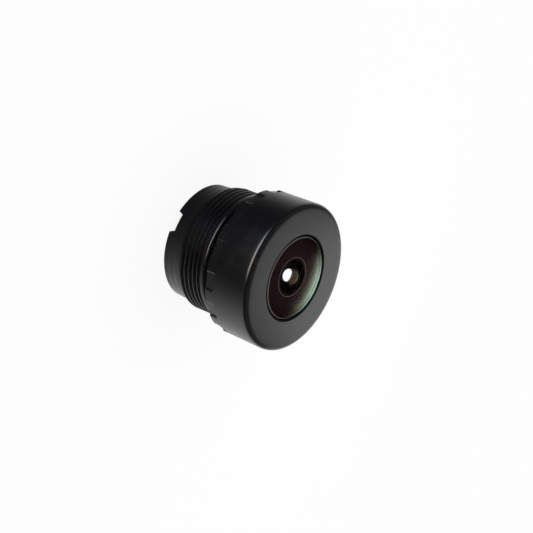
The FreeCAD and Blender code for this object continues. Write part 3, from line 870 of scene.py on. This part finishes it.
def makeBarrel(size):
    # one closed surface: the half section's radius r and height z, carried round the axis to
    # (r cos a, r sin a, z), with the pockets, the thread's climb and the slots worked into it
    before, behind, headRear, threadRear, threadFront = barrelRuns(size)
    angle = barrelAngles(size)[None, :]
    # the rows ahead of the thread and behind it lie level
    plainRadius, plainHeight = before[:, :1], before[:, 1:]
    headRadius = pocketed(size, plainRadius, plainHeight, angle, headRear)
    frontRadius = np.where(plainHeight > headRear - tiny, headRadius, plainRadius)
    frontHeight = np.broadcast_to(plainHeight, frontRadius.shape)
    # thread rows climb one pitch a turn and are held between the thread's two ends
    perPitch = size["rowsPerPitch"]
    turns = size["threadLength"] / size["pitch"] + 1
    count = math.ceil(turns * perPitch)
    start = threadFront - np.arange(count + 1)[:, None] * size["pitch"] / perPitch
    height = np.clip(start + size["pitch"] * angle / (2 * math.pi), threadRear, threadFront)
    threaded = threadRadius(size, height, angle)
    rearRadius = np.broadcast_to(behind[:, :1], (len(behind), angle.shape[1]))
    rearHeight = np.broadcast_to(behind[:, 1:], rearRadius.shape)
    radius = np.concatenate([frontRadius, threaded, rearRadius])
    heights = np.concatenate([frontHeight, height, rearHeight])
    grid = np.stack([radius * np.cos(angle), radius * np.sin(angle), heights], -1)
    grid = slotted(size, grid)
    # the bevel and the bore round the glass are painted near black: painted shade of the gap round the
    # glass
    plastic, paintedGapShade = 0, 1
    finish = np.full(len(radius) - 1, plastic, dtype=np.int32)
    finish[:size["mouthRows"]] = paintedGapShade
    finish[-size["boreRows"] - 1:] = paintedGapShade
    addPiece(
        "barrel_moulding", grid, [satin, gapShadeFinish], finish,
        ["barrel"],
    )


makeBarrel(barrel)
print("barrel made")


# glasses

glasses = {
    # mm: heights of the faces' middles, radii of their curves, and how far out they are polished
    "frontVertex": 11.65, "frontRadius": 16.0, "frontEdge": 4.0, "frontBevel": 0.13, "groundLine": 0.06,
    "bowlVertex": 10.85, "bowlRadius": 1.88, "bowlMouth": 1.74, "seatBevel": 0.45,
    "frontSeat": barrel["frontSeat"], "inkFilm": 0.004,
    "secondVertex": 9.74, "secondRadius": 8.58, "secondClear": 1.6,
    "secondRearVertex": 8.99, "secondRearRadius": 4.33, "secondRearClear": 1.4,
    "upperEdge": 2.9,
    "thirdVertex": 8.63, "thirdRadius": 7.85, "thirdClear": 1.35,
    "thirdRearVertex": 7.71, "thirdRearRadius": 6.52, "thirdRearClear": 1.25,
    "fourthVertex": 7.23, "fourthRadius": 11.9, "fourthClear": 1.3,
    "fourthRearVertex": 5.37, "fourthRearRadius": 4.32, "fourthRearClear": 1.65,
    "lowerEdge": 2.5,
    "fifthVertex": 5.27, "fifthRadius": 30.0, "fifthClear": 1.7,
    "cementVertex": 4.77, "cementRadius": 7.3, "cementGap": 0.002, "sixthEdge": 2.05,
    "sixthRearVertex": 3.42, "sixthRearRadius": 4.93, "sixthClear": 1.75,
    "filterTop": barrel["filterFront"], "filterBottom": 1.0, "filterEdge": 3.0, "filterBevel": 0.03,
    "columns": 192, "faceRows": 32,
    # each glass's refractive index, and the thickness of its coating in nanometres
    "frontGlass": (1.7725, 105.0), "secondGlass": (1.62, 100.0), "thirdGlass": (1.67, 110.0),
    "fourthGlass": (1.62, 100.0), "fifthGlass": (1.85, 110.0), "sixthGlass": (1.62, 100.0),
    "filterGlass": (1.52, 110.0),
    "fluorideIndex": 1.38,       # the coating of the bowl and the filter
}
polished, inked = 0, 1           # the two finishes of an inner glass


def makeFrontGlass(size):
    rows = size["faceRows"]
    edge = size["frontEdge"]
    bevel = size["frontBevel"]
    seat = size["frontSeat"] + size["inkFilm"]     # the ink lies between the glass and its ledge
    seatBevel = size["seatBevel"]
    ring = size["groundLine"]
    crownEdge = edge - bevel
    crown = ground(size["frontRadius"], size["frontVertex"], 0, crownEdge, False, rows)
    rimTop = crown[-1, 1]
    # the bowl's rows are even in angle, because it is nearly a half ball
    mouth = math.asin(size["bowlMouth"] / size["bowlRadius"])
    swing = np.linspace(mouth, 0, rows + 1)
    bowl = np.stack([
        size["bowlRadius"] * np.sin(swing),
        size["bowlVertex"] - size["bowlRadius"] * (1 - np.cos(swing)),
    ], -1)
    bowl[0, 1] = seat
    index, film = size["frontGlass"]
    materials = [
        crownGlass("lanthanum glass, green coating", index, crownCoating), ink, bevelled,
        polishedGlass("lanthanum glass, magenta coating", index, film, size["fluorideIndex"]),
        seatInkPaintedLight, mouthBevelPaintedLight,
    ]
    crownFace, blackEdge, groundFace, bowlFace, seatFace, mouthFace = range(len(materials))
    mouthEdge = size["bowlMouth"] + ring / 2
    profile, finish = joined([
        (crown, crownFace),
        (line((crownEdge, rimTop), (crownEdge + ring, rimTop - ring), 2), groundFace),
        (line((crownEdge + ring, rimTop - ring), (edge, rimTop - bevel), 2), blackEdge),
        (line((edge, rimTop - bevel), (edge, seat + seatBevel), 3), seatFace),
        (line((edge, seat + seatBevel), (edge - seatBevel, seat), 2), seatFace),
        (line((edge - seatBevel, seat), (mouthEdge, seat), 4), seatFace),
        (line((mouthEdge, seat), (size["bowlMouth"], seat), 1), mouthFace),
        (bowl, bowlFace),
    ])
    addPiece(
        "front_glass", turned(profile, size["columns"]), materials, finish,
        ["front_lens"],
    )


def faceOf(size, name, rises):
    # a polished face: radius, height of its middle, how far out it goes, and its direction
    return size[name + "Radius"], size[name + "Vertex"], size[name + "Clear"], rises


def makeInnerGlass(name, node, size, front, rear, edge, glass):
    # an inner glass: a polished face each side inside flat, inked seating rims; a coating
    # whose index is the square root of the glass's reflects least
    frontRadius, frontVertex, frontClear, frontRises = front
    rearRadius, rearVertex, rearClear, rearRises = rear
    rows = size["faceRows"]
    top = ground(frontRadius, frontVertex, 0, frontClear, frontRises, rows)
    bottom = ground(rearRadius, rearVertex, rearClear, 0, rearRises, rows)
    profile, finish = joined([
        (top, polished),
        (line((frontClear, top[-1, 1]), (edge, top[-1, 1]), 3), inked),
        (line((edge, top[-1, 1]), (edge, bottom[0, 1]), 3), inked),
        (line((edge, bottom[0, 1]), (rearClear, bottom[0, 1]), 3), inked),
        (bottom, polished),
    ])
    index, film = glass
    coated = polishedGlass(name.replace("_", " ") + " coated", index, film, math.sqrt(index))
    addPiece(name, turned(profile, size["columns"]), [coated, ink], finish, [node])


def makeSixthGlass(size):
    # the lower half of the cemented pair, polished to its edge on top
    rows = size["faceRows"]
    edge = size["sixthEdge"]
    clear = size["sixthClear"]
    top = ground(size["cementRadius"], size["cementVertex"] - size["cementGap"], 0, edge, False, rows)
    bottom = ground(size["sixthRearRadius"], size["sixthRearVertex"], clear, 0, True, rows)
    profile, finish = joined([
        (top, polished),
        (line((edge, top[-1, 1]), (edge, bottom[0, 1]), 3), inked),
        (line((edge, bottom[0, 1]), (clear, bottom[0, 1]), 2), inked),
        (bottom, polished),
    ])
    index, film = size["sixthGlass"]
    coated = polishedGlass("sixth glass coated", index, film, math.sqrt(index))
    addPiece(
        "sixth_glass", turned(profile, size["columns"]), [coated, ink], finish,
        ["sixth_lens"],
    )


def makeFilter(size):
    # a flat round of glass with ground edges
    edge = size["filterEdge"]
    bevel = size["filterBevel"]
    top = size["filterTop"]
    bottom = size["filterBottom"]
    clear, groundEdge = 0, 1
    profile, finish = joined([
        (line((0, top), (edge - bevel, top), 8), clear),
        (line((edge - bevel, top), (edge, top - bevel), 1), groundEdge),
        (line((edge, top - bevel), (edge, bottom + bevel), 2), groundEdge),
        (line((edge, bottom + bevel), (edge - bevel, bottom), 1), groundEdge),
        (line((edge - bevel, bottom), (0, bottom), 8), clear),
    ])
    index, film = size["filterGlass"]
    glass = polishedGlass("float glass, infrared-cut coating", index, film, size["fluorideIndex"])
    addPiece(
        "filter_glass", turned(profile, size["columns"]), [glass, bevelled], finish,
        ["ir_cut_filter"],
    )


def makeGlasses(size):
    upper = size["upperEdge"]
    lower = size["lowerEdge"]
    cemented = (size["cementRadius"], size["cementVertex"], size["sixthEdge"], False)
    makeFrontGlass(size)
    makeInnerGlass(
        "second_glass", "second_lens", size, faceOf(size, "second", False),
        faceOf(size, "secondRear", False), upper, size["secondGlass"],
    )
    makeInnerGlass(
        "third_glass", "third_lens", size, faceOf(size, "third", False),
        faceOf(size, "thirdRear", True), upper, size["thirdGlass"],
    )
    makeInnerGlass(
        "fourth_glass", "fourth_lens", size, faceOf(size, "fourth", False),
        faceOf(size, "fourthRear", True), lower, size["fourthGlass"],
    )
    makeInnerGlass(
        "fifth_glass", "fifth_lens", size, faceOf(size, "fifth", True), cemented, lower,
        size["fifthGlass"],
    )
    makeSixthGlass(size)
    makeFilter(size)


makeGlasses(glasses)
print("glasses made")


# rings, foils, seal and stop

rings = {
    "hole": 1.75, "bevel": 0.03,                      # mm, the plastic rings
    "foilHole": 1.7, "foilThickness": 0.05, "foilBevel": 0.005,    # the foil in the middle
    "thinBevel": 0.01,                                # the front foil's and the stop's
    "stopHole": 1.075, "stopTop": 7.51, "stopBottom": barrel["stopSeat"],
    "sealBore": barrel["frontBore"], "sealSag": 0.02,
    "columns": 128,
}


def rimHeight(size, name, rises):
    # the height of a polished face's rim: that of its middle, less its fall or plus its rise
    change = sagOf(size[name + "Radius"], size[name + "Clear"])
    return size[name + "Vertex"] + (change if rises else -change)


def ringSizes(size, ring):
    # each ring fills the gap between its neighbours: hole, outside, top, bottom, corner bevel,
    # and its material with the slot
    secondRim = rimHeight(size, "second", False)
    secondRearRim = rimHeight(size, "secondRear", False)
    thirdRim = rimHeight(size, "third", False)
    thirdRearRim = rimHeight(size, "thirdRear", True)
    fourthRim = rimHeight(size, "fourth", False)
    foilTop = rimHeight(size, "fourthRear", True)
    foilFoot = foilTop - ring["foilThickness"]
    fifthRim = rimHeight(size, "fifth", True)
    stopTop = ring["stopTop"]
    stopFoot = ring["stopBottom"]
    upper = size["upperEdge"]
    lower = size["lowerEdge"]
    hole = ring["hole"]
    bevel = ring["bevel"]
    thin = ring["thinBevel"]
    dark = (foil, "baffle_foil")
    plastic = (spacerPlastic, "spacer_plastic")
    metal = (stopMetal, "stop_metal")
    return [
        ("front_foil", "front_baffle", hole, upper, size["frontSeat"], secondRim, thin, dark),
        ("upper_ring", "upper_spacer", hole, upper, secondRearRim, thirdRim, bevel, plastic),
        ("clamp_ring", "stop_clamp_ring", hole, upper, thirdRearRim, stopTop, bevel, plastic),
        ("stop_disc", "aperture_stop", ring["stopHole"], upper, stopTop, stopFoot, thin, metal),
        ("lower_ring", "lower_spacer", hole, lower, stopFoot, fourthRim, bevel, plastic),
        ("middle_foil", "middle_baffle", ring["foilHole"], lower, foilTop, foilFoot,
         ring["foilBevel"], dark),
        ("pair_ring", "pair_spacer", hole, lower, foilFoot, fifthRim, bevel, plastic),
    ]


def makeRings(size, ring):
    for name, node, hole, outside, top, bottom, bevel, (material, slotName) in ringSizes(size, ring):
        profile = np.array([
            (hole + bevel, top), (outside - bevel, top), (outside, top - bevel),
            (outside, bottom + bevel), (outside - bevel, bottom), (hole + bevel, bottom),
            (hole, bottom + bevel), (hole, top - bevel), (hole + bevel, top),
        ])
        addPiece(
            name, turned(profile, ring["columns"]), [material],
            np.zeros(len(profile) - 1, dtype=np.int32), [node],
        )


def makeSeal(size, ring):
    # the squeezed ring fills the corner between bevel, bore and seat; its soft free face sinks
    # by d sin(pi s) at the share s of its width
    seat = size["frontSeat"]
    edge = size["frontEdge"]
    bevel = size["seatBevel"]
    bore = ring["sealBore"]
    share = np.linspace(0, 1, 9)
    free = np.stack([
        bore + (edge - bore) * share, seat + bevel - ring["sealSag"] * np.sin(math.pi * share),
    ], -1)
    profile = np.concatenate([
        line((edge, seat + bevel), (edge - bevel, seat), 4),
        line((edge - bevel, seat), (bore, seat), 3),
        line((bore, seat), (bore, seat + bevel), 3),
        free,
    ])[::-1]
    addPiece(
        "seal_ring", turned(profile, ring["columns"]), [rubber],
        np.zeros(len(profile) - 1, dtype=np.int32), ["front_seal"],
    )


makeRings(glasses, rings)
makeSeal(glasses, rings)
print("rings, foils, seal and stop made")
